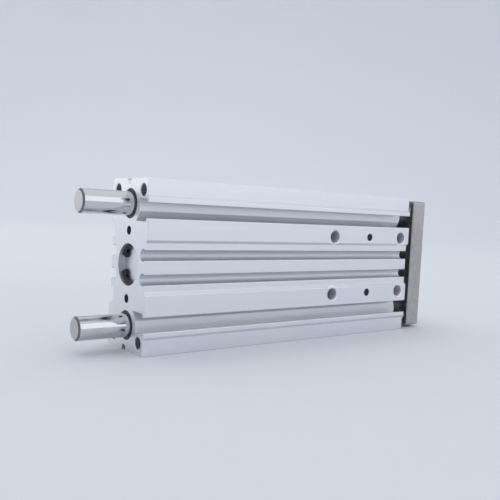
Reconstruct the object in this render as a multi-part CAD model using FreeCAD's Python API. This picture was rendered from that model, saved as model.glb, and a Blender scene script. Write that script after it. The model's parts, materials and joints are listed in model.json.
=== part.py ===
import FreeCAD, Part
import math
import os

# Compact guided pneumatic cylinder with two slide-bearing guide rods, drawn retracted.
# Millimetres. X runs along the rods towards the front plate, Z is up, and the body stands on one
# of its narrow sides. The T-slots are in the wide face on the -Y side.
# Shapes are drawn about the piston axis with X = 0 at the body's rear face, and part_frame()
# moves them so that the origin is the bottom centre of the whole cylinder.

# Travel and fits
STROKE = 100.0
SEAT_FIT = 0.02          # radial, between pieces that are pressed or seated
RUN_FIT = 0.04           # radial, between pieces that slide
STOP_GAP = 0.3           # piston to bumper at either end of the travel
PISTON_GAP = 0.1         # radial, bare piston to cylinder bore

# Body
GUIDE_PITCH = 41.0
GUIDE_TO_SIDE = 8.5      # guide axis to the narrow side next to it
BODY_THICK = 26.0        # along Y
FIXED_LENGTH = 29.0      # body length without the stroke
BODY_CORNER = 1.2
BORE_DIA = 12.0
GUIDE_BORE_DIA = 10.0
BORE_MOUTH_CHAMFER = 0.15

# Rows of holes: distance from a guide axis towards the piston axis, for threads and dowels alike
HOLES_TO_GUIDE = 9.0

# Bands of the T-slot face
OUTER_BAND_TO_GUIDE = 3.05   # step to the outer band, outside the guide axis
OUTER_BAND_SLOPE = 0.95
OUTER_BAND_STEP = 0.8
HOLE_BAND_TO_HOLES = 2.5     # step to the centre band, inside the row of holes
CENTRE_BAND_SLOPE = 1.0
CENTRE_BAND_STEP = 1.0
EDGE_CHAMFER = 0.12

# T-slots
TSLOT_TO_GUIDE = 4.5         # slot's inner edge, inside the guide axis
TSLOT_OPENING = 5.1
TSLOT_POCKET = 7.3
TSLOT_LIP = 1.5
GUIDE_WALL = 2.3         # wall round a guide bore, which is the slot's rounded floor

# Switch grooves, in both wide faces
SWITCH_CENTRE = 4.0
SWITCH_OPENING = 3.4
SWITCH_DIA = 4.2
SWITCH_DEPTH = 3.5

# Port face on the +Y side: a channel along each row of bolt heads
CHANNEL_INSIDE_HOLES = 2.6
CHANNEL_OUTSIDE_HOLES = 1.9
CHANNEL_SLOPE = 1.2
CHANNEL_DEPTH = 3.0

# Narrow sides
SIDE_GROOVE_WIDTH = 2.6
SIDE_GROOVE_DEPTH = 2.0
SIDE_GROOVE_Y = 0.8

# Holes for mounting the body
MOUNT_SPACING = 40.0     # along the body
MOUNT_FROM_FRONT = 5.0
MOUNT_THREAD = 5.0
MOUNT_THREAD_DEPTH = 10.0
THROUGH_DIA = 4.3
BOLT_HEAD_DIA = 8.0
BOLT_HEAD_DEPTH = 4.5
DOWEL_DIA = 3.0
DOWEL_DEPTH = 3.5
REAR_THREAD = 4.0
REAR_THREAD_DEPTH = 10.0
REAR_THREAD_EDGE = 4.0   # thread's centre to the body's sides
THREAD_MOUTH = 0.3       # chamfer at the mouth of a threaded hole
DRILL_POINT = math.radians(118)

# Ports
PORT_THREAD = 5.0
PORT_DEPTH = 5.5
PORT_OFFSET = 18.0       # from the piston axis, over the upper guide bore
REAR_PORT_FROM_REAR = 8.0
FRONT_PORT_FROM_FRONT = 13.0
PORT_PASSAGE_DIA = 2.0

# Covers in the two ends of the bore
POCKET_DIA = 14.3
REAR_RING_RECESS = 1.3   # rear face to the retaining ring's groove
FRONT_RING_RECESS = 1.5  # front face to the other ring's groove
RING_THICK = 1.0
RING_SLACK = 0.05        # on each flat side of a retaining ring
RING_GROOVE_DEPTH = 0.5
RING_WIDTH = 1.3
RING_OPEN_ANGLE = 46.0
RING_OPEN_AT = 90.0       # middle of the opening, from straight down round to the port side
RING_LUG_ANGLE = 22.0
RING_LUG_WIDTH = 2.1
RING_LUG_HOLE = 0.9
HEAD_COVER_THICK = 4.4
COLLAR_TAIL = 1.8
COLLAR_TAIL_DIA = 10.4
ORING_SECTION = 1.2
ORING_GROOVE_WIDTH = 1.5
BUMPER_THICK = 1.8
BUMPER_PROUD = 1.0
REAR_BUMPER_DIA = 8.0
FRONT_BUMPER_DIA = 9.2
FRONT_BUMPER_BORE = 6.8

# Piston and piston rod
PISTON_LENGTH = 7.4
PISTON_CHAMFER = 0.5
REAR_LAND = 1.0
MAGNET_WIDTH = 2.2
MAGNET_DIA = 11.3
MAGNET_BORE = 8.0
MID_LAND = 0.8
SEAL_WIDTH = 1.9
SEAL_BORE = 8.4
ROD_DIA = 6.0
ROD_SPIGOT_DIA = 4.0
ROD_CHAMFER = 0.4
ROD_FLAT_WIDTH = 5.0
ROD_FLAT_LENGTH = 3.5
ROD_SEAL_DIA = 9.6
ROD_SEAL_LENGTH = 3.0
ROD_SEAL_LIP = 1.0
ROD_SEAL_LAND = 0.9      # collar metal in front of the rod seal
ROD_SEAL_SPARE = 0.2     # length of the seal's groove beyond the seal
ROD_RELIEF = 0.3         # radial, collar's front wall to the rod

# Guide rods and their bushes
GUIDE_ROD_DIA = 8.0
GUIDE_ROD_REACH = 18.0   # out of the rear face when retracted
GUIDE_ROD_CHAMFER = 0.6
BUSH_LENGTH = 15.0
BUSH_RECESS = 0.6

# Front plate
PLATE_GAP = 5.0
PLATE_THICK = 8.0
PLATE_INSET_Z = 1.0      # plate's edges inside the body's outline
PLATE_INSET_Y = 2.0
PLATE_CHAMFER = 0.4
PLATE_CORNER = 1.0
PLATE_THREAD = 4.0
PLATE_THREAD_EDGE = 4.0  # thread's centre to the plate's edges

# Plate screws: thread, clearance hole, head diameter, head height, length, key size
GUIDE_SCREW_THREAD = 4.0
GUIDE_SCREW_HOLE = 4.5
GUIDE_SCREW_HEAD = 7.0
GUIDE_SCREW_LENGTH = 12.0
GUIDE_SCREW_KEY = 3.0
ROD_SCREW_THREAD = 3.0
ROD_SCREW_HOLE = 3.4
ROD_SCREW_HEAD = 5.5
ROD_SCREW_LENGTH = 12.0
ROD_SCREW_KEY = 2.5
HEAD_SINK = 0.4          # plate face to the top of a screw's head
HEAD_CLEARANCE = 0.4     # radial, head to counterbore
KEY_DEPTH_SHARE = 0.5    # of the head's height
SCREW_HOLE_SPARE = 1.5   # thread below the end of a screw

# Places that follow from the sizes above
BODY_LENGTH = FIXED_LENGTH + STROKE
BODY_HEIGHT = GUIDE_PITCH + 2 * GUIDE_TO_SIDE
NEAR_FACE = -BODY_THICK / 2
FAR_FACE = BODY_THICK / 2
GUIDE_Z = GUIDE_PITCH / 2
HOLE_Z = GUIDE_Z - HOLES_TO_GUIDE
REAR_THREAD_Y = BODY_THICK / 2 - REAR_THREAD_EDGE
REAR_THREAD_Z = BODY_HEIGHT / 2 - REAR_THREAD_EDGE
MOUNT_FRONT_X = BODY_LENGTH - MOUNT_FROM_FRONT
MOUNT_REAR_X = MOUNT_FRONT_X - MOUNT_SPACING
RING_SLOT = RING_THICK + 2 * RING_SLACK
HEAD_COVER_X = REAR_RING_RECESS + RING_SLOT
HEAD_POCKET_END = HEAD_COVER_X + HEAD_COVER_THICK
PISTON_X = HEAD_POCKET_END + BUMPER_PROUD + STOP_GAP
PISTON_FRONT = PISTON_X + PISTON_LENGTH
COLLAR_X = PISTON_FRONT + STROKE + STOP_GAP + BUMPER_PROUD
COLLAR_SHOULDER = COLLAR_X + COLLAR_TAIL
COLLAR_END = BODY_LENGTH - FRONT_RING_RECESS - RING_SLOT
PLATE_X = BODY_LENGTH + PLATE_GAP
PLATE_FACE = PLATE_X + PLATE_THICK
PLATE_HEIGHT = BODY_HEIGHT - 2 * PLATE_INSET_Z
PLATE_WIDTH = BODY_THICK - 2 * PLATE_INSET_Y
PLATE_THREAD_Y = PLATE_WIDTH / 2 - PLATE_THREAD_EDGE
PLATE_THREAD_Z = PLATE_HEIGHT / 2 - PLATE_THREAD_EDGE
GUIDE_ROD_X = -GUIDE_ROD_REACH

# Edge length of the cutters that only have to reach past the body
PAST = 2.0


def vec(x, y, z):
    return FreeCAD.Vector(x, y, z)


def part_frame(shape):
    """Moves a shape to the frame whose origin is the bottom centre of the retracted cylinder."""
    middle = (GUIDE_ROD_X + PLATE_FACE) / 2
    return shape.translated(vec(-middle, 0, BODY_HEIGHT / 2))


def save(name, *solids):
    shape = solids[0] if len(solids) == 1 else Part.makeCompound(list(solids))
    part_frame(shape).exportStep(f"parts/{name}.step")


def rod_x(dia, x0, x1, y=0.0, z=0.0):
    return Part.makeCylinder(dia / 2, x1 - x0, vec(x0, y, z), vec(1, 0, 0))


def turned(points):
    """A piece turned about the piston axis, from (x, radius) points of its half section."""
    corners = [vec(x, 0, radius) for x, radius in points]
    face = Part.Face(Part.makePolygon(corners + corners[:1]))
    return face.revolve(vec(0, 0, 0), vec(1, 0, 0), 360)


def tube(outer, bore, x0, x1):
    """A bush or ring along the piston axis."""
    return rod_x(outer, x0, x1).cut(rod_x(bore, x0 - PAST, x1 + PAST))


def drilled(dia, depth, mouth, inward, chamfer=0.0):
    """The cutter of a blind hole with a drill point and a chamfered mouth."""
    cutter = Part.makeCylinder(dia / 2, depth, mouth, inward)
    point = dia / 2 / math.tan(DRILL_POINT / 2)
    cutter = cutter.fuse(Part.makeCone(dia / 2, 0, point, mouth + inward * depth, inward))
    if chamfer:
        cutter = cutter.fuse(Part.makeCone(dia / 2 + chamfer, dia / 2, chamfer, mouth, inward))
    return cutter


# ---------------------------------------------------------------- body

def section_polygon(points):
    """A face of the body's section, from (y, z) points."""
    corners = [vec(0, y, z) for y, z in points]
    return Part.Face(Part.makePolygon(corners + corners[:1]))


def section_disc(dia, y, z):
    return Part.Face(Part.Wire(Part.makeCircle(dia / 2, vec(0, y, z), vec(1, 0, 0))))


def block(y0, y1, z0, z1):
    return section_polygon([(y0, z0), (y1, z0), (y1, z1), (y0, z1)])


def body_outline():
    """The body's outer rectangle with rounded corners."""
    solid = Part.makeBox(1, BODY_THICK, BODY_HEIGHT, vec(0, NEAR_FACE, -BODY_HEIGHT / 2))
    edges = [edge for edge in solid.Edges if abs(edge.tangentAt(edge.FirstParameter).x) > 0.9]
    rounded = solid.makeFillet(BODY_CORNER, edges)
    return min(rounded.Faces, key=lambda face: face.CenterOfMass.x)


def slot_mouth(face_y, centre_z, width, depth):
    """The straight mouth of a groove, with chamfered lips. Depth runs from face_y inwards."""
    inward = 1 if face_y < 0 else -1
    half = width / 2
    outer = face_y - inward * PAST
    edge = face_y + inward * EDGE_CHAMFER
    inner = face_y + inward * depth
    wide = half + EDGE_CHAMFER
    return section_polygon([
        (outer, centre_z - wide), (face_y, centre_z - wide), (edge, centre_z - half),
        (inner, centre_z - half), (inner, centre_z + half), (edge, centre_z + half),
        (face_y, centre_z + wide), (outer, centre_z + wide),
    ])


def t_slot(side):
    """T-slot whose floor is the round wall of the guide bore behind it."""
    mouth_z = side * (GUIDE_Z - TSLOT_TO_GUIDE + TSLOT_OPENING / 2)
    lip_y = NEAR_FACE + TSLOT_LIP
    wall_radius = GUIDE_BORE_DIA / 2 + GUIDE_WALL
    corners = [mouth_z - TSLOT_POCKET / 2, mouth_z + TSLOT_POCKET / 2]
    reach = max(abs(z - side * GUIDE_Z) for z in corners)
    inside_wall = -math.sqrt(wall_radius ** 2 - reach ** 2) / 2
    pocket = block(lip_y, inside_wall, *corners)
    pocket = pocket.cut(section_disc(2 * wall_radius, 0, side * GUIDE_Z))
    mouth = slot_mouth(NEAR_FACE, mouth_z, TSLOT_OPENING, TSLOT_LIP + EDGE_CHAMFER)
    return mouth.fuse(pocket)


def outer_band(side):
    """The shallow step beside the narrow side, up to the slot's outer lip."""
    low = NEAR_FACE + OUTER_BAND_STEP
    band_z = GUIDE_Z + OUTER_BAND_TO_GUIDE
    lip_z = side * (band_z - OUTER_BAND_SLOPE)
    past_z = side * (BODY_HEIGHT / 2 + PAST)
    return section_polygon([
        (NEAR_FACE - PAST, lip_z), (NEAR_FACE, lip_z),
        (low, side * band_z), (low, past_z), (NEAR_FACE - PAST, past_z),
    ])


def centre_band():
    """The shallow step between the two rows of holes."""
    low = NEAR_FACE + CENTRE_BAND_STEP
    high_z = HOLE_Z - HOLE_BAND_TO_HOLES
    low_z = high_z - CENTRE_BAND_SLOPE
    return section_polygon([
        (NEAR_FACE - PAST, -high_z), (NEAR_FACE, -high_z), (low, -low_z),
        (low, low_z), (NEAR_FACE, high_z), (NEAR_FACE - PAST, high_z),
    ])


def switch_groove(face_y, side):
    """Round groove for a magnetic switch, sunk below the stepped centre band."""
    inward = 1 if face_y < 0 else -1
    band = face_y + inward * CENTRE_BAND_STEP
    floor_centre = band + inward * (SWITCH_DEPTH - SWITCH_DIA / 2)
    mouth_depth = SWITCH_DEPTH - SWITCH_DIA / 2
    mouth = slot_mouth(band, side * SWITCH_CENTRE, SWITCH_OPENING, mouth_depth)
    return mouth.fuse(section_disc(SWITCH_DIA, floor_centre, side * SWITCH_CENTRE))


def port_face_channel(side):
    """Shallow channel along the row of bolt heads in the port face."""
    low = FAR_FACE - CHANNEL_DEPTH
    inner_z = side * (HOLE_Z - CHANNEL_INSIDE_HOLES)
    outer_z = side * (HOLE_Z + CHANNEL_OUTSIDE_HOLES)
    top_z = outer_z + side * CHANNEL_SLOPE
    return section_polygon([
        (FAR_FACE + PAST, inner_z), (low, inner_z), (low, outer_z), (FAR_FACE, top_z),
        (FAR_FACE + PAST, top_z),
    ])


def side_groove(side):
    """Small round-bottomed groove along the middle of a narrow side."""
    radius = SIDE_GROOVE_WIDTH / 2
    centre_z = side * (BODY_HEIGHT / 2 - SIDE_GROOVE_DEPTH + radius)
    low, high = SIDE_GROOVE_Y - radius, SIDE_GROOVE_Y + radius
    mouth = block(low, high, centre_z, side * (BODY_HEIGHT / 2 + PAST))
    return mouth.fuse(section_disc(SIDE_GROOVE_WIDTH, SIDE_GROOVE_Y, centre_z))


def body_section():
    cuts = [centre_band()]
    channel_z = HOLE_Z - CHANNEL_INSIDE_HOLES
    cuts.append(block(FAR_FACE - CENTRE_BAND_STEP, FAR_FACE + PAST, -channel_z, channel_z))
    for side in (-1, 1):
        cuts += [outer_band(side), t_slot(side), port_face_channel(side), side_groove(side)]
        cuts += [switch_groove(face_y, side) for face_y in (NEAR_FACE, FAR_FACE)]
    return body_outline().cut(cuts).removeSplitter()


def bore_cuts():
    """Piston bore, its end pockets and ring grooves, and the two guide bores."""
    past_front = BODY_LENGTH + PAST
    ring_dia = POCKET_DIA + 2 * RING_GROOVE_DEPTH
    cuts = [
        rod_x(BORE_DIA, -PAST, past_front),
        rod_x(POCKET_DIA, -PAST, HEAD_POCKET_END),
        rod_x(POCKET_DIA, COLLAR_SHOULDER, past_front),
        rod_x(ring_dia, REAR_RING_RECESS, REAR_RING_RECESS + RING_SLOT),
        rod_x(ring_dia, COLLAR_END, COLLAR_END + RING_SLOT),
    ]
    mouth = GUIDE_BORE_DIA / 2 + BORE_MOUTH_CHAMFER
    for side in (-1, 1):
        cuts.append(rod_x(GUIDE_BORE_DIA, -PAST, past_front, 0, side * GUIDE_Z))
        for x, inward in ((0, 1), (BODY_LENGTH, -1)):
            cuts.append(Part.makeCone(mouth, GUIDE_BORE_DIA / 2, BORE_MOUTH_CHAMFER,
                                      vec(x, 0, side * GUIDE_Z), vec(inward, 0, 0)))
    return cuts


def mount_hole_cuts():
    """M5 threads, bolt holes and dowel holes of the wide faces, and the rear face's holes."""
    into_body, out_of_body = vec(0, 1, 0), vec(0, -1, 0)
    cuts = []
    for side in (-1, 1):
        z = side * HOLE_Z
        for x in (MOUNT_REAR_X, MOUNT_FRONT_X):
            near, far = vec(x, NEAR_FACE, z), vec(x, FAR_FACE, z)
            cuts.append(drilled(MOUNT_THREAD, MOUNT_THREAD_DEPTH, near, into_body, THREAD_MOUTH))
            cuts.append(Part.makeCylinder(THROUGH_DIA / 2, BODY_THICK, near, into_body))
            cuts.append(Part.makeCylinder(BOLT_HEAD_DIA / 2, BOLT_HEAD_DEPTH, far, out_of_body))
        dowel_x = (MOUNT_REAR_X + MOUNT_FRONT_X) / 2
        cuts.append(drilled(DOWEL_DIA, DOWEL_DEPTH, vec(dowel_x, NEAR_FACE, z), into_body))
        cuts.append(drilled(DOWEL_DIA, DOWEL_DEPTH, vec(0, 0, z), vec(1, 0, 0)))
        for y in (-REAR_THREAD_Y, REAR_THREAD_Y):
            mouth = vec(0, y, side * REAR_THREAD_Z)
            cuts.append(drilled(REAR_THREAD, REAR_THREAD_DEPTH, mouth, vec(1, 0, 0), THREAD_MOUTH))
    return cuts


def port_cuts():
    """The two ports and the slanted passages from them to the bore."""
    cuts = []
    for x in (REAR_PORT_FROM_REAR, BODY_LENGTH - FRONT_PORT_FROM_FRONT):
        mouth = vec(x, FAR_FACE, PORT_OFFSET)
        cuts.append(drilled(PORT_THREAD, PORT_DEPTH, mouth, vec(0, -1, 0), THREAD_MOUTH))
        start = vec(x, FAR_FACE - PORT_DEPTH + PORT_PASSAGE_DIA, PORT_OFFSET)
        run = vec(x, 0, 0) - start
        length = run.Length - BORE_DIA / 4
        cuts.append(Part.makeCylinder(PORT_PASSAGE_DIA / 2, length, start, run))
    return cuts


def body():
    extrusion = body_section().extrude(vec(BODY_LENGTH, 0, 0))
    if extrusion.ShapeType != "Solid":
        extrusion = extrusion.Solids[0]
    return extrusion.cut(bore_cuts() + mount_hole_cuts() + port_cuts()).Solids[0]


# ---------------------------------------------------------------- covers, rings and seals

def oring(x):
    """Static O-ring in the outer groove of a cover, flattened on the pocket's wall."""
    outer = POCKET_DIA / 2 - SEAT_FIT
    middle = outer - ORING_SECTION / 2
    half, flat = ORING_SECTION / 2, ORING_SECTION / 4
    return turned([
        (x - half, middle), (x - flat, outer - ORING_SECTION), (x + flat, outer - ORING_SECTION),
        (x + half, middle), (x + flat, outer), (x - flat, outer),
    ])


def groove_points(x, outer):
    """Points of an O-ring groove centred on x, walked towards +X along a cover's rim."""
    half = ORING_GROOVE_WIDTH / 2
    floor = outer - ORING_SECTION - SEAT_FIT
    return [(x - half, outer), (x - half, floor), (x + half, floor), (x + half, outer)]


def head_cover():
    """Rear cover disc with an O-ring groove and a seat for the bumper on its inner face."""
    outer = POCKET_DIA / 2 - SEAT_FIT
    seat = REAR_BUMPER_DIA / 2 + SEAT_FIT
    seat_x = HEAD_POCKET_END - (BUMPER_THICK - BUMPER_PROUD)
    middle = (HEAD_COVER_X + HEAD_POCKET_END) / 2
    return turned([(HEAD_COVER_X, 0), (HEAD_COVER_X, outer)] + groove_points(middle, outer) + [
        (HEAD_POCKET_END, outer), (HEAD_POCKET_END, seat), (seat_x, seat), (seat_x, 0),
    ])


def rear_bumper():
    end = HEAD_POCKET_END + BUMPER_PROUD
    radius = REAR_BUMPER_DIA / 2
    edge = BUMPER_PROUD / 2
    return turned([(end - BUMPER_THICK, 0), (end - BUMPER_THICK, radius), (end - edge, radius),
                   (end, radius - edge), (end, 0)])


def collar_oring_x():
    return COLLAR_SHOULDER + (COLLAR_END - COLLAR_SHOULDER) / 4


def rod_collar():
    """Front cover with the rod's bearing, the seal's groove and the bumper's seat."""
    outer = POCKET_DIA / 2 - SEAT_FIT
    bearing = ROD_DIA / 2 + RUN_FIT
    relief = ROD_DIA / 2 + ROD_RELIEF
    seal = ROD_SEAL_DIA / 2 + SEAT_FIT
    groove_end = COLLAR_END - ROD_SEAL_LAND
    groove_x = groove_end - ROD_SEAL_LENGTH - ROD_SEAL_SPARE
    seat = FRONT_BUMPER_DIA / 2 + SEAT_FIT
    seat_x = COLLAR_X + BUMPER_THICK - BUMPER_PROUD
    return turned([
        (seat_x, bearing), (seat_x, seat), (COLLAR_X, seat), (COLLAR_X, COLLAR_TAIL_DIA / 2),
        (COLLAR_SHOULDER, COLLAR_TAIL_DIA / 2), (COLLAR_SHOULDER, outer),
    ] + groove_points(collar_oring_x(), outer) + [
        (COLLAR_END, outer), (COLLAR_END, relief), (groove_end, relief), (groove_end, seal),
        (groove_x, seal), (groove_x, bearing),
    ])


def front_bumper():
    start = COLLAR_X - BUMPER_PROUD
    radius = FRONT_BUMPER_DIA / 2
    edge = BUMPER_PROUD / 2
    return turned([(start, FRONT_BUMPER_BORE / 2), (start, radius - edge), (start + edge, radius),
                   (start + BUMPER_THICK, radius), (start + BUMPER_THICK, FRONT_BUMPER_BORE / 2)])


def rod_seal():
    """Seal with a lip on the rod at its front and a relieved heel behind it."""
    end = COLLAR_END - ROD_SEAL_LAND - SEAT_FIT
    start = end - ROD_SEAL_LENGTH
    radius = ROD_SEAL_DIA / 2
    lip = ROD_DIA / 2 + RUN_FIT
    heel = (radius + lip) / 2
    return turned([
        (start, heel), (start, radius), (end, radius), (end, lip),
        (end - ROD_SEAL_LIP, lip), (end - 2 * ROD_SEAL_LIP, heel),
    ])


def retaining_ring(x):
    """Internal retaining ring, open towards the port side, with an eye in each lug."""
    end = x + RING_THICK
    outer = POCKET_DIA / 2 + RING_GROOVE_DEPTH - RING_SLACK
    inner = POCKET_DIA / 2 - RING_WIDTH
    lug_radius = POCKET_DIA / 2 - RING_LUG_WIDTH
    sweep = 360 - RING_OPEN_ANGLE

    def sector(inside, outside, start, angle):
        points = [vec(x, 0, -inside), vec(x, 0, -outside), vec(end, 0, -outside), vec(end, 0, -inside)]
        face = Part.Face(Part.makePolygon(points + points[:1]))
        face.rotate(vec(0, 0, 0), vec(1, 0, 0), start)
        return face.revolve(vec(0, 0, 0), vec(1, 0, 0), angle)

    ring_start = RING_OPEN_AT + RING_OPEN_ANGLE / 2
    ring = sector(inner, outer, ring_start, sweep)
    eyes = []
    for start in (ring_start, RING_OPEN_AT - RING_OPEN_ANGLE / 2 - RING_LUG_ANGLE):
        ring = ring.fuse(sector(lug_radius, (inner + outer) / 2, start, RING_LUG_ANGLE))
        angle = math.radians(start + RING_LUG_ANGLE / 2)
        eye_radius = (lug_radius + inner) / 2 + RING_LUG_HOLE / 4
        y, z = eye_radius * math.sin(angle), -eye_radius * math.cos(angle)
        eyes.append(rod_x(RING_LUG_HOLE, x - PAST, end + PAST, y, z))
    return ring.removeSplitter().cut(eyes).Solids[0]


# ---------------------------------------------------------------- piston and rods

def piston_grooves():
    """Start of the magnet's groove and of the seal's groove along X."""
    magnet_x = PISTON_X + REAR_LAND
    return magnet_x, magnet_x + MAGNET_WIDTH + MID_LAND


def piston():
    """Piston with one groove for the magnet and one for the seal, bored for the rod's spigot."""
    outer = BORE_DIA / 2 - PISTON_GAP
    bore = ROD_SPIGOT_DIA / 2 + SEAT_FIT
    magnet_x, seal_x = piston_grooves()
    magnet_floor = MAGNET_BORE / 2 - SEAT_FIT
    seal_floor = SEAL_BORE / 2 - SEAT_FIT
    return turned([
        (PISTON_X, bore), (PISTON_X, outer - PISTON_CHAMFER), (PISTON_X + PISTON_CHAMFER, outer),
        (magnet_x, outer), (magnet_x, magnet_floor),
        (magnet_x + MAGNET_WIDTH, magnet_floor), (magnet_x + MAGNET_WIDTH, outer),
        (seal_x, outer), (seal_x, seal_floor),
        (seal_x + SEAL_WIDTH, seal_floor), (seal_x + SEAL_WIDTH, outer),
        (PISTON_FRONT - PISTON_CHAMFER, outer), (PISTON_FRONT, outer - PISTON_CHAMFER),
        (PISTON_FRONT, bore),
    ])


def magnet_ring():
    magnet_x = piston_grooves()[0]
    return tube(MAGNET_DIA, MAGNET_BORE, magnet_x + SEAT_FIT, magnet_x + MAGNET_WIDTH - SEAT_FIT)


def piston_seal():
    """Double-lip seal: two crowns on the bore with a hollow between them."""
    seal_x = piston_grooves()[1]
    start, end = seal_x + SEAT_FIT, seal_x + SEAL_WIDTH - SEAT_FIT
    crown = BORE_DIA / 2 - RUN_FIT
    hollow = (crown + SEAL_BORE / 2) / 2
    width = end - start
    return turned([
        (start, SEAL_BORE / 2), (start, hollow), (start + width / 6, crown),
        (start + width / 3, crown), (start + width / 2, hollow), (end - width / 3, crown),
        (end - width / 6, crown), (end, hollow), (end, SEAL_BORE / 2),
    ])


def screw_bite(length, thread, head_height):
    """How deep a plate screw reaches into its rod, behind the plate's rear face."""
    return length - (PLATE_THICK - HEAD_SINK - head_height)


def tapped_rod(points, thread, bite):
    """A turned rod with a threaded hole for its plate screw in the front end."""
    mouth = vec(PLATE_X, 0, 0)
    return turned(points).cut(drilled(thread, bite + SCREW_HOLE_SPARE, mouth, vec(-1, 0, 0)))


def piston_rod():
    """Rod with a spigot through the piston and two flats for a spanner behind the plate."""
    radius, spigot = ROD_DIA / 2, ROD_SPIGOT_DIA / 2
    rear = PISTON_X + STOP_GAP
    rod = tapped_rod([
        (rear, 0), (rear, spigot - ROD_CHAMFER), (rear + ROD_CHAMFER, spigot),
        (PISTON_FRONT, spigot), (PISTON_FRONT, radius), (PLATE_X, radius), (PLATE_X, 0),
    ], ROD_SCREW_THREAD, screw_bite(ROD_SCREW_LENGTH, ROD_SCREW_THREAD, ROD_SCREW_THREAD))
    flat_x = PLATE_X - (PLATE_GAP + ROD_FLAT_LENGTH) / 2
    for side in (-1, 1):
        y = ROD_FLAT_WIDTH / 2 if side > 0 else -ROD_FLAT_WIDTH / 2 - ROD_DIA
        flat = Part.makeBox(ROD_FLAT_LENGTH, ROD_DIA, 2 * ROD_DIA, vec(flat_x, y, -ROD_DIA))
        rod = rod.cut(flat)
    return rod


def guide_rod(side):
    radius = GUIDE_ROD_DIA / 2
    rod = tapped_rod([
        (GUIDE_ROD_X, 0), (GUIDE_ROD_X, radius - GUIDE_ROD_CHAMFER),
        (GUIDE_ROD_X + GUIDE_ROD_CHAMFER, radius), (PLATE_X, radius), (PLATE_X, 0),
    ], GUIDE_SCREW_THREAD, screw_bite(GUIDE_SCREW_LENGTH, GUIDE_SCREW_THREAD, GUIDE_SCREW_THREAD))
    return rod.translated(vec(0, 0, side * GUIDE_Z))


def bush(side, x):
    outer = GUIDE_BORE_DIA - 2 * SEAT_FIT
    bore = GUIDE_ROD_DIA + 2 * RUN_FIT
    return tube(outer, bore, x, x + BUSH_LENGTH).translated(vec(0, 0, side * GUIDE_Z))


# ---------------------------------------------------------------- front plate and its screws

def head_bottom(thread):
    """X of the underside of a socket head, which is as high as its thread is wide."""
    return PLATE_FACE - HEAD_SINK - thread


def screw_seat(thread, hole, head, z):
    """Clearance hole and counterbore for a plate screw."""
    return [
        rod_x(hole, PLATE_X - PAST, PLATE_FACE, 0, z),
        rod_x(head + 2 * HEAD_CLEARANCE, head_bottom(thread), PLATE_FACE + PAST, 0, z),
    ]


def front_plate():
    plate = Part.makeBox(PLATE_THICK, PLATE_WIDTH, PLATE_HEIGHT,
                         vec(PLATE_X, -PLATE_WIDTH / 2, -PLATE_HEIGHT / 2))
    along_x = [edge for edge in plate.Edges if abs(edge.tangentAt(edge.FirstParameter).x) > 0.9]
    plate = plate.makeFillet(PLATE_CORNER, along_x)
    ends = [edge for edge in plate.Edges if edge.BoundBox.XLength < PLATE_CHAMFER]
    plate = plate.makeChamfer(PLATE_CHAMFER, ends)
    cuts = screw_seat(ROD_SCREW_THREAD, ROD_SCREW_HOLE, ROD_SCREW_HEAD, 0)
    for side in (-1, 1):
        cuts += screw_seat(GUIDE_SCREW_THREAD, GUIDE_SCREW_HOLE, GUIDE_SCREW_HEAD, side * GUIDE_Z)
        for y in (-PLATE_THREAD_Y, PLATE_THREAD_Y):
            z = side * PLATE_THREAD_Z
            cuts.append(rod_x(PLATE_THREAD, PLATE_X - PAST, PLATE_FACE + PAST, y, z))
            for x, inward in ((PLATE_X, 1), (PLATE_FACE, -1)):
                cuts.append(Part.makeCone(PLATE_THREAD / 2 + THREAD_MOUTH, PLATE_THREAD / 2,
                                          THREAD_MOUTH, vec(x, y, z), vec(inward, 0, 0)))
    return plate.cut(cuts).Solids[0]


def socket_screw(thread, head, length, key, z=0.0):
    """Socket head cap screw that points to -X, with a hexagon socket in its head."""
    under = head_bottom(thread)
    top = under + thread
    shank = thread / 2 - RUN_FIT
    edge = thread / 10
    screw = turned([
        (under - length, 0), (under - length, shank - edge), (under - length + edge, shank),
        (under, shank), (under, head / 2), (top - edge, head / 2), (top, head / 2 - edge), (top, 0),
    ])
    key_radius = key / math.sqrt(3)
    corners = [math.radians(60 * step) for step in range(6)]
    depth = thread * KEY_DEPTH_SHARE
    points = [vec(top - depth, key_radius * math.cos(a), key_radius * math.sin(a)) for a in corners]
    socket = Part.Face(Part.makePolygon(points + points[:1])).extrude(vec(depth + PAST, 0, 0))
    return screw.cut(socket).translated(vec(0, 0, z))


def main():
    os.makedirs("parts", exist_ok=True)
    save("body", body())
    save("head_cover", head_cover())
    save("head_cover_oring", oring((HEAD_COVER_X + HEAD_POCKET_END) / 2))
    save("head_retaining_ring", retaining_ring(REAR_RING_RECESS + RING_SLACK))
    save("rear_bumper", rear_bumper())
    save("rod_collar", rod_collar())
    save("rod_collar_oring", oring(collar_oring_x()))
    save("rod_seal", rod_seal())
    save("collar_retaining_ring", retaining_ring(COLLAR_END + RING_SLACK))
    save("front_bumper", front_bumper())
    save("piston", piston())
    save("magnet_ring", magnet_ring())
    save("piston_seal", piston_seal())
    save("piston_rod", piston_rod())
    for name, side in (("upper", 1), ("lower", -1)):
        save(f"guide_rod_{name}", guide_rod(side))
        save(f"rear_bush_{name}", bush(side, BUSH_RECESS))
        save(f"front_bush_{name}", bush(side, BODY_LENGTH - BUSH_RECESS - BUSH_LENGTH))
    save("front_plate", front_plate())
    save("piston_rod_screw",
         socket_screw(ROD_SCREW_THREAD, ROD_SCREW_HEAD, ROD_SCREW_LENGTH, ROD_SCREW_KEY))
    save("guide_rod_screws", *[
        socket_screw(GUIDE_SCREW_THREAD, GUIDE_SCREW_HEAD, GUIDE_SCREW_LENGTH, GUIDE_SCREW_KEY, z)
        for z in (-GUIDE_Z, GUIDE_Z)
    ])


main()
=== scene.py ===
import json
import math
import bpy
from mathutils import Matrix, Vector


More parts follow.
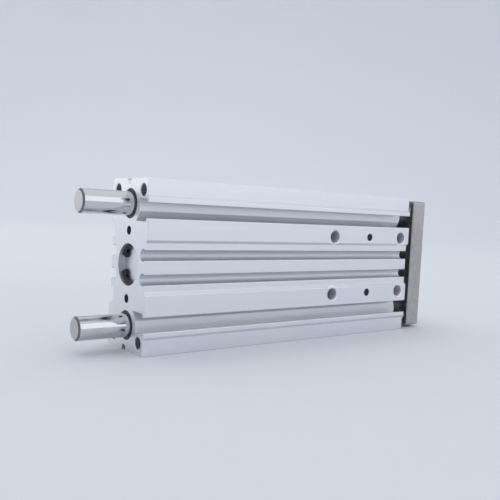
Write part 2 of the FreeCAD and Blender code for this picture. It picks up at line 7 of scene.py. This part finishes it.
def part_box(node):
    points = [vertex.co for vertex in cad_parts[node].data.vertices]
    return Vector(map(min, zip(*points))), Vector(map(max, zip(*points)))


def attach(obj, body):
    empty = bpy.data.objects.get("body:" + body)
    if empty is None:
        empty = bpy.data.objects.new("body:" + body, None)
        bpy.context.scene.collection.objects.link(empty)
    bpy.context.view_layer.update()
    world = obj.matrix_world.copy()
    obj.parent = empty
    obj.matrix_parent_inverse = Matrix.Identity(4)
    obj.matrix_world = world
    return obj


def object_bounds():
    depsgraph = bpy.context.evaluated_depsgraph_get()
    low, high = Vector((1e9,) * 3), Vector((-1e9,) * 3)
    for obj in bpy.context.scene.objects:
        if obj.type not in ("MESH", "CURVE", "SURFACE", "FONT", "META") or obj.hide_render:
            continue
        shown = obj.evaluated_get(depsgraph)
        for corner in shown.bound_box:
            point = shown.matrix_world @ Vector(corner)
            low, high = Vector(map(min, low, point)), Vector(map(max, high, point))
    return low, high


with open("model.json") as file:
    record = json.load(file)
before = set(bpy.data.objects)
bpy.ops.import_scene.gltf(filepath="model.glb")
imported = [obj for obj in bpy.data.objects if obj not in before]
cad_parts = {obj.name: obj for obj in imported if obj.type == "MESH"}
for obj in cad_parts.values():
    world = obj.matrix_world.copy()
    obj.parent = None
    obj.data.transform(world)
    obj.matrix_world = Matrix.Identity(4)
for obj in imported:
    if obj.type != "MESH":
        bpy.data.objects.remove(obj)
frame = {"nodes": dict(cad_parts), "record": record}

# Looks for a compact guided pneumatic cylinder: satin anodised body with T-slots, chromed guide rods
# and a nickel-plated front plate. Metres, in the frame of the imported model: X runs along the rods
# towards the front plate and Z is up.

MM = 0.001

# Soft steps over the body, in millimetres: the share is 0 at the first number and 1 at the second
SUNK_DEPTH = (1.1, 2.2)         # in from a wide face
SWITCH_GROOVES = (6.6, 6.2)     # up or down from the piston axis
SLOT_INNER_LIP = (14.2, 14.6)   # the same
SLOT_OUTER_LIP = (22.8, 22.4)   # the same
LAND_FROM_GUIDE = (2.45, 2.2)   # up or down from a guide axis
LAND_OUTER_Y = (-8.0, -7.6)     # places along Y
LAND_INNER_Y = (-6.2, -6.6)
THREAD_MOUTH = (3.6, 3.4)       # out from a thread's axis

THREAD_STEPS = 28     # points in one turn of a ridge
THREAD_RUNOUT = 1.6   # turns left out at the ends of a hole
REAR_THREAD_END = (30.0, 29.0)   # in millimetres, from the rods' rear tips

cad_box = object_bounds()
nodes = frame["nodes"]
mounts = {mount["name"]: mount for mount in frame["record"]["mounts"]}


# ---------------------------------------------------------------- shader arithmetic

class Value:
    """A shader value that takes part in Python arithmetic."""

    def __init__(self, finish, socket):
        self.finish = finish
        self.socket = socket

    def maths(self, operation, *values):
        return self.finish.node("ShaderNodeMath", {"operation": operation}, dict(enumerate(values)))

    def __add__(self, other):
        return self.maths("ADD", self, other)

    def __sub__(self, other):
        return self.maths("SUBTRACT", self, other)

    def __rsub__(self, other):
        return self.maths("SUBTRACT", other, self)

    def __mul__(self, other):
        return self.maths("MULTIPLY", self, other)

    def __pow__(self, other):
        return self.maths("POWER", self, other)

    __radd__ = __add__

    def size(self):
        return self.maths("ABSOLUTE", self)

    def rise(self, low, high):
        """0 below low, 1 above high and a smooth step between them; falls if low is above high."""
        return self.finish.node("ShaderNodeMapRange", {"interpolation_type": "SMOOTHSTEP"},
                                {"Value": self, "From Min": low, "From Max": high})

    def step(self, ends):
        """The same between two ends in millimetres."""
        low, high = ends
        return self.rise(low * MM, high * MM)


def socket_name(word):
    return word.replace("_", " ").title().replace("Ior", "IOR")


class Wiring:
    """A shader tree whose nodes are added by one method."""

    def __init__(self, tree):
        self.tree = tree

    def node(self, kind, settings=None, inputs=None, output=0):
        """Any node: its settings first, then its inputs by name or number."""
        made = self.tree.nodes.new(kind)
        for setting, value in (settings or {}).items():
            setattr(made, setting, value)
        for socket, value in (inputs or {}).items():
            if isinstance(value, Value):
                self.tree.links.new(value.socket, made.inputs[socket])
            else:
                made.inputs[socket].default_value = value
        return Value(self, made.outputs[output])

    def split(self, vector):
        apart = self.node("ShaderNodeSeparateXYZ", inputs={0: vector}).socket.node
        return [Value(self, socket) for socket in apart.outputs]

    def join(self, x, y, z):
        return self.node("ShaderNodeCombineXYZ", inputs={0: x, 1: y, 2: z})

    def tint(self, share, first, second):
        """Mixes two colours, or a colour with what a node gives."""
        return self.node("ShaderNodeMix", {"data_type": "RGBA"}, {0: share, 6: first, 7: second}, output=2)


class Finish(Wiring):
    """A material with one principled shader, and the nodes that vary it over the surface."""

    def __init__(self, name, **constants):
        self.material = bpy.data.materials.new(name)
        self.material.use_nodes = True
        super().__init__(self.material.node_tree)
        self.tree.nodes.clear()
        self.shader = self.tree.nodes.new("ShaderNodeBsdfPrincipled")
        output = self.tree.nodes.new("ShaderNodeOutputMaterial")
        self.tree.links.new(self.shader.outputs[0], output.inputs[0])
        for socket, value in constants.items():
            self.shader.inputs[socket_name(socket)].default_value = value
        self.place = self.node("ShaderNodeTexCoord", output="Object")
        self.x, self.y, self.z = self.split(self.place)

    def facing(self):
        """The surface's own direction in the piece's frame."""
        return self.split(self.node("ShaderNodeTexCoord", output="Normal"))

    def noise(self, along, detail=2.0, rough=0.5):
        """Noise with its own scale per millimetre along X, Y and Z."""
        axes = zip((self.x, self.y, self.z), along)
        stretched = self.join(*(axis * (scale / MM) for axis, scale in axes))
        return self.node("ShaderNodeTexNoise", {"noise_dimensions": "3D"},
                         {"Vector": stretched, "Scale": 1.0, "Detail": detail, "Roughness": rough})

    def off_axis(self, y, z):
        """Distance from a line along X."""
        return ((self.y - y) ** 2 + (self.z - z) ** 2) ** 0.5

    def off_holes(self, mount):
        """Distance from the nearest axis in a pattern of holes, sunk in a wide face or an end face."""
        x, y, z = mount["pos_m"]
        across = self.x - x if abs(mount["axis"][1]) > 0.5 else self.y - y
        across = across.size() - mount["dims"].get("spacing_x_mm", 0) * MM / 2
        upwards = (self.z - z).size() - mount["dims"].get("spacing_y_mm", 0) * MM / 2
        return (across ** 2 + upwards ** 2) ** 0.5

    def inside(self, *names):
        """1 on the walls of the named holes and 0 on the faces round them."""
        depth = 0.0
        for name in names:
            radius = mounts[name]["dims"]["hole_r_mm"] * MM
            depth = self.off_holes(mounts[name]).rise(radius + 0.08 * MM, radius + 0.02 * MM) + depth
        return depth

    def soft_edges(self, radius):
        return self.node("ShaderNodeBevel", {"samples": 6}, {"Radius": radius})

    def edge(self, radius):
        """1 on an edge, where the rounded shading normal turns from the true one, and 0 on the flats."""
        rounded = self.soft_edges(radius)
        true = self.node("ShaderNodeNewGeometry", output="True Normal")
        turn = self.node("ShaderNodeVectorMath", {"operation": "DOT_PRODUCT"}, {0: rounded, 1: true},
                         output=1)
        return turn.rise(0.995, 0.86)

    def bump(self, height, depth, under=None):
        inputs = {"Height": height, "Distance": depth, "Strength": 1.0}
        if under:
            inputs["Normal"] = under
        return self.node("ShaderNodeBump", inputs=inputs)

    def set(self, **links):
        for socket, value in links.items():
            self.tree.links.new(value.socket, self.shader.inputs[socket_name(socket)])


def colour(red, green, blue):
    return (red, green, blue, 1.0)


# ---------------------------------------------------------------- finishes

def anodised_extrusion():
    """Clear satin anodising: drawn lines along the body, sawn ends; painted highlights on the edges and
    round the thread mouths, painted shade in the switch grooves and in the dowel and rear threaded holes.
    """
    look = Finish("anodised_body")
    across_x, across_y = look.facing()[:2]
    end = across_x.size().rise(0.9, 0.99)
    die_lines = look.noise((0.012, 2.6, 2.6), detail=3.0, rough=0.6)
    clouds = look.noise((0.05, 0.09, 0.09), detail=2.0)
    grit = look.noise((7.0, 7.0, 7.0), detail=2.0, rough=0.7)
    saw = look.node("ShaderNodeTexWave", {"wave_type": "RINGS", "rings_direction": "X"},
                    {"Vector": look.join(look.x, look.y + 0.11, look.z + 0.05), "Scale": 700.0,
                     "Distortion": 0.6, "Detail": 2.0})
    edge = look.edge(0.3 * MM)
    middle = (cad_box[0].z + cad_box[1].z) / 2
    painted_shade_dowels = look.inside("wide_face_dowels", "rear_face_dowels")
    threaded = look.inside("wide_face_threads")
    shaded = look.inside("rear_face_threads")
    sunk = look.off_holes(mounts["wide_face_threads"]).step(THREAD_MOUTH) * (1 - threaded)
    rim = sunk * across_y.size().rise(0.93, 0.85)
    depth = (cad_box[1].y - look.y.size()).step(SUNK_DEPTH) * (1 - end)
    height = (look.z - middle).size()
    groove = depth * height.step(SWITCH_GROOVES)
    slot = depth * height.step(SLOT_INNER_LIP) * height.step(SLOT_OUTER_LIP)

    # The flat land on the slot's floor is in the shading only: the solid is round there
    guide_low, guide_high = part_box("guide_rod_upper")
    guide_height = (guide_low.z + guide_high.z) / 2 - middle
    land = slot * (height - guide_height).size().step(LAND_FROM_GUIDE)
    land = land * look.y.step(LAND_OUTER_Y) * look.y.step(LAND_INNER_Y)

    satin = look.tint(die_lines, colour(0.765, 0.772, 0.805), colour(0.835, 0.842, 0.87))
    satin = look.tint(clouds * 0.25, satin, colour(0.70, 0.73, 0.78))
    cut = look.tint(saw * 0.3, colour(0.80, 0.81, 0.83), colour(0.70, 0.71, 0.74))
    shade = look.tint(end, satin, cut)
    # Painted shade: the switch grooves are painted darker
    shade = look.tint(groove * 0.5, shade, colour(0.52, 0.54, 0.58))
    # Painted highlight: the edges are painted paler, as where they catch the light
    shade = look.tint(edge * 0.6, shade, colour(0.93, 0.94, 0.96))
    # Painted shade: the walls of the dowel holes are painted dark
    shade = look.tint(painted_shade_dowels, shade, colour(0.34, 0.35, 0.38))
    # Painted shade: the walls of the rear face's threaded holes are painted dark
    shade = look.tint(shaded, shade, colour(0.36, 0.365, 0.39))
    # Painted highlight: the chamfered mouths of the wide-face threads are painted pale
    shade = look.tint(rim, shade, colour(0.95, 0.955, 0.97))
    rough = 0.34 + (die_lines - 0.5) * 0.10 + (grit - 0.5) * 0.08 - edge * 0.10 + groove * 0.14
    rough = rough + slot * 0.12 - rim * 0.1
    flat = look.node("ShaderNodeMix", {"data_type": "VECTOR"},
                     {0: land, 4: look.soft_edges(0.25 * MM), 5: (0.0, -1.0, 0.0)}, output=1)
    grain = look.bump(grit, 0.004 * MM, flat)
    lines = look.bump(die_lines * (1 - end) + saw * end * 0.35, 0.012 * MM, grain)
    look.set(base_color=shade, roughness=rough, normal=lines, metallic=0.9 - threaded * 0.65)
    return look.material


def turned_metal(name, base, line):
    """Lathe-turned metal about the piston axis."""
    look = Finish(name, metallic=1.0)
    middle = (cad_box[0].z + cad_box[1].z) / 2
    radius = look.off_axis(0.0, middle)
    rings = look.node("ShaderNodeTexNoise", {"noise_dimensions": "1D"},
                      {"W": (radius + look.x * 0.6) * 9000.0, "Detail": 2.0, "Scale": 1.0})
    shade = look.tint(rings, base, line)
    look.set(base_color=shade, roughness=0.22 + rings * 0.14,
             normal=look.bump(rings, 0.01 * MM, look.soft_edges(0.1 * MM)))
    return look.material


def nickel_plating():
    """Satin nickel over a ground steel plate: grain along the height, faint mottling, edges painted brighter
    as a painted highlight and the rear face painted darker as painted shade.
    """
    look = Finish("nickel_plate", metallic=0.92)
    grain = look.noise((4.2, 4.2, 0.10), detail=3.0, rough=0.6)
    mottle = look.noise((0.35, 0.35, 0.30), detail=4.0, rough=0.6)
    edge = look.edge(0.35 * MM)
    shade = look.tint(mottle, colour(0.415, 0.40, 0.392), colour(0.505, 0.49, 0.482))
    # Painted shade: the rear face, which looks into the gap at the body, is painted dark
    rear = look.facing()[0].rise(-0.9, -0.99)
    shade = look.tint(rear * 0.5, shade, colour(0.12, 0.113, 0.115))
    # Painted highlight: the plate's edges are painted paler
    shade = look.tint(edge * 0.7, shade, colour(0.66, 0.645, 0.63))
    rough = 0.28 + (grain - 0.5) * 0.14 + (mottle - 0.5) * 0.12 - edge * 0.08
    look.set(base_color=shade, roughness=rough,
             normal=look.bump(grain, 0.006 * MM, look.soft_edges(0.2 * MM)))
    return look.material


def hard_chrome():
    """Ground and polished hard chrome with faint grinding bands round the rods and turned end faces."""
    look = Finish("chromed_rod", metallic=1.0)
    across = look.facing()[0].size()
    end = across.rise(0.85, 0.97)
    chamfer = across.rise(0.3, 0.5) - end
    bands = look.node("ShaderNodeTexNoise", {"noise_dimensions": "1D"},
                      {"W": look.x * 2600.0, "Scale": 1.0, "Detail": 3.0, "Roughness": 0.7})
    haze = look.noise((0.12, 0.5, 0.5), detail=3.0)
    shade = look.tint(bands * 0.5 + haze * 0.3, colour(0.62, 0.63, 0.65), colour(0.70, 0.71, 0.735))
    shade = look.tint(end, shade, colour(0.53, 0.52, 0.52))
    shade = look.tint(chamfer, shade, colour(0.20, 0.205, 0.225))
    rough = 0.07 + haze * 0.05 + bands * 0.03 + (end + chamfer) * 0.22
    look.set(base_color=shade, roughness=rough,
             normal=look.bump(bands + haze * 0.4, 0.0016 * MM, look.soft_edges(0.15 * MM)))
    return look.material


def bearing_lining():
    """Dark lead-bronze lining of the bushes, with lighter specks."""
    look = Finish("bush_lining", metallic=0.7)
    specks = look.noise((3.5, 3.5, 3.5), detail=3.0, rough=0.7)
    shade = look.tint(specks.rise(0.35, 0.7), colour(0.075, 0.077, 0.092), colour(0.14, 0.14, 0.15))
    look.set(base_color=shade, roughness=0.42 + specks * 0.2, normal=look.bump(specks, 0.01 * MM))
    return look.material


def rubber():
    """Moulded nitrile: matt black with a faint bloom."""
    look = Finish("nitrile", specular_ior_level=0.4)
    bloom = look.noise((0.8, 0.8, 0.8), detail=4.0, rough=0.65)
    pores = look.noise((9.0, 9.0, 9.0), detail=1.0)
    shade = look.tint(bloom, colour(0.012, 0.012, 0.013), colour(0.03, 0.03, 0.032))
    look.set(base_color=shade, roughness=0.55 + bloom * 0.2, normal=look.bump(pores, 0.008 * MM))
    return look.material


def polyurethane():
    """Amber moulded bumper."""
    look = Finish("urethane", subsurface_weight=0.15, specular_ior_level=0.5)
    flow = look.noise((0.6, 0.6, 0.6), detail=3.0)
    shade = look.tint(flow, colour(0.46, 0.26, 0.07), colour(0.60, 0.37, 0.12))
    look.set(base_color=shade, roughness=0.30 + flow * 0.15, normal=look.bump(flow, 0.02 * MM))
    return look.material


def dark_steel(name, low, high, shine):
    """Oxide or phosphate on steel, lighter at the edges."""
    look = Finish(name, metallic=0.75)
    patches = look.noise((0.7, 0.7, 0.7), detail=4.0, rough=0.65)
    grit = look.noise((8.0, 8.0, 8.0), detail=2.0)
    edge = look.edge(0.12 * MM)
    shade = look.tint(patches, low, high)
    shade = look.tint(edge * 0.5, shade, colour(0.26, 0.26, 0.27))
    look.set(base_color=shade, roughness=shine + patches * 0.16 + (grit - 0.5) * 0.1,
             normal=look.bump(grit, 0.006 * MM, look.soft_edges(0.08 * MM)))
    return look.material


def cut_thread():
    """Cut aluminium thread, bright in the wide faces and the plate; in the rear face it is painted dark, a
    painted shade.
    """
    look = Finish("cut_thread", metallic=0.35)
    tear = look.noise((2.5, 2.5, 2.5), detail=3.0, rough=0.7)
    shade = look.tint(tear, colour(0.66, 0.67, 0.70), colour(0.86, 0.87, 0.90))
    # Painted shade: the threads in the rear face are painted dark
    rear = (look.x - cad_box[0].x).step(REAR_THREAD_END)
    shade = look.tint(rear, shade, colour(0.36, 0.365, 0.39))
    look.set(base_color=shade, roughness=0.26 + tear * 0.18, normal=look.bump(tear, 0.008 * MM))
    return look.material


finishes = {
    "anodised_body": anodised_extrusion(),
    "turned_aluminium": turned_metal("turned_aluminium", colour(0.70, 0.71, 0.73), colour(0.84, 0.85, 0.87)),
    "nickel_plate": nickel_plating(),
    "chromed_rod": hard_chrome(),
    "bush_lining": bearing_lining(),
    "nitrile": rubber(),
    "urethane": polyurethane(),
    "ring_steel": dark_steel("ring_steel", colour(0.035, 0.035, 0.04), colour(0.075, 0.075, 0.08), 0.34),
    "magnet": dark_steel("magnet", colour(0.06, 0.06, 0.062), colour(0.11, 0.11, 0.112), 0.5),
    "screw_steel": dark_steel("screw_steel", colour(0.03, 0.03, 0.034), colour(0.065, 0.065, 0.07), 0.28),
}
thread_finish = cut_thread()

for part in frame["record"]["subparts"]:
    mesh = nodes[part["node"]].data
    mesh.materials.clear()
    mesh.materials.append(finishes[part["material_slot"]])


# ---------------------------------------------------------------- threads in the tapped holes

def link(tree, source, output, target, socket):
    tree.links.new(source.outputs[output], target.inputs[socket])


def thread_tree():
    """One-turn ridges set one above another down each hole, from the mouth points of a mesh."""
    tree = bpy.data.node_groups.new("tapped_thread", "GeometryNodeTree")
    face = tree.interface
    face.new_socket("Geometry", in_out="INPUT", socket_type="NodeSocketGeometry")
    sizes = (("Crest", 0.83), ("Root", 1.03), ("Flank", 0.86), ("Flat", 0.16), ("First Turn", 0.7))
    for name, value in sizes:
        face.new_socket(name, in_out="INPUT", socket_type="NodeSocketFloat").default_value = value
    steps = face.new_socket("Steps", in_out="INPUT", socket_type="NodeSocketInt")
    steps.default_value = THREAD_STEPS
    face.new_socket("Finish", in_out="INPUT", socket_type="NodeSocketMaterial")
    face.new_socket("Geometry", in_out="OUTPUT", socket_type="NodeSocketGeometry")

    def add(kind, **settings):
        made = tree.nodes.new(kind)
        for setting, value in settings.items():
            setattr(made, setting, value)
        return made

    def named(name, kind):
        made = add("GeometryNodeInputNamedAttribute", data_type=kind)
        made.inputs["Name"].default_value = name
        return made

    def sum_of(operation, first, second):
        made = add("ShaderNodeMath", operation=operation)
        for socket, value in enumerate((first, second)):
            if isinstance(value, float):
                made.inputs[socket].default_value = value
            else:
                tree.links.new(value, made.inputs[socket])
        return made.outputs[0]

    start = add("NodeGroupInput")
    end = add("NodeGroupOutput")

    # The ridge of one turn of unit radius and unit pitch
    turn = add("GeometryNodeCurveSpiral")
    link(tree, start, "Steps", turn, "Resolution")
    for socket in ("Rotations", "Start Radius", "End Radius", "Height"):
        turn.inputs[socket].default_value = 1.0
    upright = add("GeometryNodeSetCurveNormal", mode="Z_UP")
    link(tree, turn, 0, upright, "Curve")
    outline = add("GeometryNodeCurvePrimitiveQuadrilateral", mode="TRAPEZOID")
    link(tree, start, "Flank", outline, "Bottom Width")
    link(tree, start, "Flat", outline, "Top Width")
    depth = sum_of("SUBTRACT", start.outputs["Root"], start.outputs["Crest"])
    tree.links.new(depth, outline.inputs["Height"])
    outline.inputs["Offset"].default_value = 0.0
    seat = add("GeometryNodeTransform")
    link(tree, outline, 0, seat, "Geometry")
    seat.inputs["Rotation"].default_value = (0.0, 0.0, math.pi / 2)
    ridge = add("GeometryNodeCurveToMesh")
    link(tree, upright, 0, ridge, "Curve")
    link(tree, seat, 0, ridge, "Profile Curve")

    # A row of points down each hole
    row = add("GeometryNodeDuplicateElements", domain="POINT")
    link(tree, start, "Geometry", row, "Geometry")
    link(tree, named("turns", "INT"), 0, row, "Amount")
    down = add("ShaderNodeVectorMath", operation="SCALE")
    link(tree, named("axis", "FLOAT_VECTOR"), 0, down, 0)
    order = sum_of("ADD", row.outputs["Duplicate Index"], start.outputs["First Turn"])
    tree.links.new(sum_of("MULTIPLY", order, named("pitch", "FLOAT").outputs[0]), down.inputs["Scale"])
    stepped = add("GeometryNodeSetPosition")
    link(tree, row, "Geometry", stepped, "Geometry")
    link(tree, down, 0, stepped, "Offset")

    turned = add("FunctionNodeAlignRotationToVector", axis="Z")
    link(tree, named("axis", "FLOAT_VECTOR"), 0, turned, "Vector")
    stretch = add("ShaderNodeCombineXYZ")
    radius = named("radius", "FLOAT")
    link(tree, radius, 0, stretch, 0)
    link(tree, radius, 0, stretch, 1)
    link(tree, named("pitch", "FLOAT"), 0, stretch, 2)
    placed = add("GeometryNodeInstanceOnPoints")
    link(tree, stepped, 0, placed, "Points")
    link(tree, ridge, 0, placed, "Instance")
    link(tree, turned, 0, placed, "Rotation")
    link(tree, stretch, 0, placed, "Scale")
    real = add("GeometryNodeRealizeInstances")
    link(tree, placed, 0, real, 0)
    finish = add("GeometryNodeSetMaterial")
    link(tree, real, 0, finish, "Geometry")
    link(tree, start, "Finish", finish, "Material")
    link(tree, finish, 0, end, 0)
    return tree


def pattern(mount):
    """Mouths of a bolt pattern's holes, from its centre and spacings."""
    out = Vector(mount["axis"])
    dims = mount["dims"]
    across = out.cross(Vector((0, 0, 1)))
    wide = across * dims["spacing_x_mm"] * MM / 2
    high = Vector((0, 0, 1)) * dims["spacing_y_mm"] * MM / 2
    return [Vector(mount["pos_m"]) + i * wide + j * high for i in (-1, 1) for j in (-1, 1)]


def tapped(name, holes):
    """The threads of one body, made a plain mesh.

    A hole is its mouth, outward axis, radius, pitch and depth.
    """
    mesh = bpy.data.meshes.new(name)
    mesh.from_pydata([hole[0] for hole in holes], [], [])
    kinds = (("axis", "FLOAT_VECTOR", "vector", lambda hole: [-c for c in hole[1]]),
             ("radius", "FLOAT", "value", lambda hole: [hole[2]]),
             ("pitch", "FLOAT", "value", lambda hole: [hole[3]]),
             ("turns", "INT", "value", lambda hole: [int(hole[4] / hole[3] - THREAD_RUNOUT)]))
    for key, kind, field, read in kinds:
        values = [number for hole in holes for number in read(hole)]
        mesh.attributes.new(key, kind, "POINT").data.foreach_set(field, values)
    seeds = bpy.data.objects.new(name + "_mouths", mesh)
    bpy.context.scene.collection.objects.link(seeds)
    cutter = seeds.modifiers.new("thread", "NODES")
    cutter.node_group = thread_tree()
    sockets = {item.name: item.identifier for item in cutter.node_group.interface.items_tree
               if item.item_type == "SOCKET" and item.in_out == "INPUT"}
    cutter[sockets["Finish"]] = thread_finish
    cutter[sockets["Steps"]] = THREAD_STEPS
    shown = bpy.context.evaluated_depsgraph_get()
    made = bpy.data.meshes.new_from_object(seeds.evaluated_get(shown))
    made.name = name
    bpy.data.objects.remove(seeds)
    piece = bpy.data.objects.new(name, made)
    bpy.context.scene.collection.objects.link(piece)
    for polygon in made.polygons:
        polygon.use_smooth = False
    return piece


coarse_pitch = {2.0: 0.7 * MM, 2.5: 0.8 * MM}   # by the thread's radius in millimetres
screw_depth = 10.0 * MM
body_holes = []
for key in ("wide_face_threads", "rear_face_threads"):
    radius = mounts[key]["dims"]["hole_r_mm"]
    for mouth in pattern(mounts[key]):
        body_holes.append((mouth, mounts[key]["axis"], radius * MM, coarse_pitch[radius], screw_depth))
for key in ("rear_port", "front_port"):
    dims = mounts[key]["dims"]
    body_holes.append((Vector(mounts[key]["pos_m"]), mounts[key]["axis"], dims["r_mm"] * MM,
                       coarse_pitch[dims["r_mm"]], dims["length_mm"] * MM))
plate_low, plate_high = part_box("front_plate")
plate = mounts["plate_threads"]
radius = plate["dims"]["hole_r_mm"]
plate_holes = [(mouth, plate["axis"], radius * MM, coarse_pitch[radius], plate_high.x - plate_low.x)
               for mouth in pattern(plate)]

for name, holes, body, slot in (("body_threads", body_holes, "cylinder", "turned_aluminium"),
                                ("plate_threads_cut", plate_holes, "slider", "nickel_plate")):
    piece = tapped(name, holes)
    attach(piece, body)


# ---------------------------------------------------------------- floor, light and camera

def cove():
    """Pale floor that curves up into a far backdrop all round."""
    flat, sweep, wall = 1.1, 0.7, 0.9
    arc_steps, count = 12, 64
    outline = [(distance, 0.0) for distance in (0.0, 0.25, 0.6, flat)]
    for step in range(1, arc_steps + 1):
        angle = math.pi / 2 * step / arc_steps
        outline.append((flat + sweep * math.sin(angle), sweep * (1 - math.cos(angle))))
    outline.append((flat + sweep, sweep + wall))
    points, faces = [], []
    for distance, height in outline:
        for k in range(count):
            angle = 2 * math.pi * k / count
            points.append((distance * math.cos(angle), distance * math.sin(angle), height))
    for i in range(len(outline) - 1):
        for k in range(count):
            after = (k + 1) % count
            faces.append((i * count + k, i * count + after, (i + 1) * count + after, (i + 1) * count + k))
    mesh = bpy.data.meshes.new("cove")
    mesh.from_pydata(points, [], faces)
    for polygon in mesh.polygons:
        polygon.use_smooth = True
    piece = bpy.data.objects.new("cove", mesh)
    bpy.context.scene.collection.objects.link(piece)
    look = Finish("pale_floor", roughness=0.75, specular_ior_level=0.15)
    grain = look.noise((0.004, 0.004, 0.004), detail=2.0)
    floor = look.tint(grain, colour(0.785, 0.81, 0.85), colour(0.805, 0.83, 0.87))

    # A painted pool of light: floor and wall are painted paler round a place on the wall behind the cylinder
    behind = Vector((0.5, 1.1, 0.15))
    away = ((look.x - behind.x) ** 2 + (look.y - behind.y) ** 2 + (look.z - behind.z) ** 2) ** 0.5
    look.set(base_color=look.tint(away.rise(1.6, 0.2), floor, colour(0.90, 0.925, 0.96)))
    mesh.materials.append(look.material)
    return piece


def softbox(name, at, aim, size, radiance):
    """Flat even panel that the camera doesn't see, a little warmer than white."""
    width, height = size
    light = bpy.data.lights.new(name, "AREA")
    light.shape = "RECTANGLE"
    light.size = width
    light.size_y = height
    light.energy = radiance * math.pi * width * height
    light.color = (1.0, 0.99, 0.98)
    lamp = bpy.data.objects.new(name, light)
    lamp.location = at
    lamp.rotation_euler = (Vector(aim) - Vector(at)).to_track_quat("-Z", "Y").to_euler()
    lamp.visible_camera = False
    bpy.context.scene.collection.objects.link(lamp)
    return lamp


def studio_light(horizon, zenith):
    """Even pale blue-grey walls all round and a slightly brighter ceiling."""
    world = bpy.data.worlds.new("studio")
    bpy.context.scene.world = world
    world.use_nodes = True
    room = Wiring(world.node_tree)
    height = room.split(room.node("ShaderNodeTexCoord", output="Generated"))[2]
    back = world.node_tree.nodes["Background"]
    room.tree.links.new(room.tint(height.rise(0.45, 0.95), horizon, zenith).socket, back.inputs["Color"])


def camera(at, right, down, focal):
    """Camera from its place, the two directions of its frame and its focal length in millimetres."""
    data = bpy.data.cameras.new("camera")
    data.sensor_width = 36.0   # millimetres
    data.lens = focal
    data.clip_start = 0.01
    piece = bpy.data.objects.new("camera", data)
    right, up = Vector(right).normalized(), -Vector(down).normalized()
    back = right.cross(up)
    axes = Matrix((right, up, back)).transposed().to_4x4()
    piece.matrix_world = Matrix.Translation(Vector(at)) @ axes
    bpy.context.scene.collection.objects.link(piece)
    bpy.context.scene.camera = piece


# Each panel: its place from the cylinder's middle, width and height, radiance, and the kind of light
# that it doesn't give
PANELS = (
    ("key", (0.46, -0.86, 0.43), (1.35, 0.82), 0.64, "diffuse"),
    ("fill", (-0.62, 1.00, 0.27), (1.0, 0.5), 0.70, None),
    ("overhead", (0.05, 0.22, 1.3), (1.0, 0.8), 0.86, "glossy"),
    ("strip", (0.1, 0.0, 1.3), (1.0, 0.24), 0.58, "diffuse"),
)

cove()
middle = (cad_box[0] + cad_box[1]) / 2
for name, offset, size, radiance, left_out in PANELS:
    lamp = softbox(name, middle + Vector(offset), middle, size, radiance)
    if left_out:
        setattr(lamp, "visible_" + left_out, False)
studio_light(colour(0.79, 0.81, 0.85), colour(0.83, 0.85, 0.885))
camera(at=(-0.159653, -0.193536, 0.048936), right=(0.79324, -0.60681, 0.05064),
       down=(0.00311, -0.07914, -0.99686), focal=45.942)
bpy.context.scene.view_settings.view_transform = "Standard"
